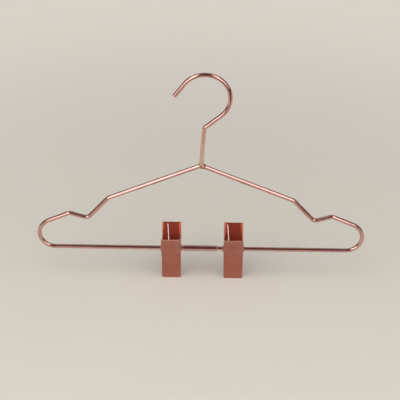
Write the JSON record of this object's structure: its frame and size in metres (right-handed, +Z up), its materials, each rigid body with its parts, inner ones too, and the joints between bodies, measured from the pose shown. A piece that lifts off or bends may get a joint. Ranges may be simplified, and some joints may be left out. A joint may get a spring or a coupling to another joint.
{
  "type": "clothes hanger",
  "caption": "Wire clothes hanger with a hook, strap notches and a straight bar that carries sprung metal clips, which slide, swing and squeeze open.",
  "frame": {"origin": "highest point of the hook's inside, where the rail bears", "axes": "+X along the bar, to the right as seen in the picture; -Y towards the viewer; +Z up"},
  "size_m": [0.35, 0.0388, 0.244],
  "materials": {
    "plated_wire": "satin copper-coloured plating on steel",
    "plated_sheet": "satin copper-coloured plating on steel",
    "spring_steel": "bright spring steel wire",
    "grip_rubber": "soft matt dark rubber"
  },
  "bodies": {
    "frame": {"hook_wire": "plated_wire", "right_wire": "plated_wire", "neck_weld": "plated_wire", "joining_sleeve": "plated_wire"},
    "left_slider": {"left_pivot_tube": "plated_sheet"},
    "left_rear": {"left_rear_jaw": "plated_sheet", "left_rear_pad": "grip_rubber", "left_spring": "spring_steel"},
    "left_front": {"left_front_jaw": "plated_sheet", "left_front_pad": "grip_rubber"},
    "right_slider": {"right_pivot_tube": "plated_sheet"},
    "right_rear": {"right_rear_jaw": "plated_sheet", "right_rear_pad": "grip_rubber", "right_spring": "spring_steel"},
    "right_front": {"right_front_jaw": "plated_sheet", "right_front_pad": "grip_rubber"}
  },
  "joints": [
    {"name": "left_slide", "type": "slide", "parent": "frame", "child": "left_slider", "axis": [1, 0, 0], "range_m": [-0.1115, 0.0008]},
    {"name": "left_swing", "type": "hinge", "parent": "left_slider", "child": "left_rear", "pos_m": [-0.035, 0, -0.20355], "axis": [1, 0, 0], "range_deg": [-100, 100]},
    {"name": "left_squeeze", "type": "hinge", "parent": "left_rear", "child": "left_front", "pos_m": [-0.035, 0, -0.20355], "axis": [-1, 0, 0], "range_deg": [0, 50], "stiffness_Nm_per_rad": 0.15, "springref_deg": -80.21, "deforming": ["left_spring"]},
    {"name": "right_slide", "type": "slide", "parent": "frame", "child": "right_slider", "axis": [1, 0, 0], "range_m": [-0.0058, 0.1078]},
    {"name": "right_swing", "type": "hinge", "parent": "right_slider", "child": "right_rear", "pos_m": [0.0318, 0, -0.20355], "axis": [1, 0, 0], "range_deg": [-100, 100]},
    {"name": "right_squeeze", "type": "hinge", "parent": "right_rear", "child": "right_front", "pos_m": [0.0318, 0, -0.20355], "axis": [-1, 0, 0], "range_deg": [0, 50], "stiffness_Nm_per_rad": 0.15, "springref_deg": -80.21, "deforming": ["right_spring"]}
  ]
}
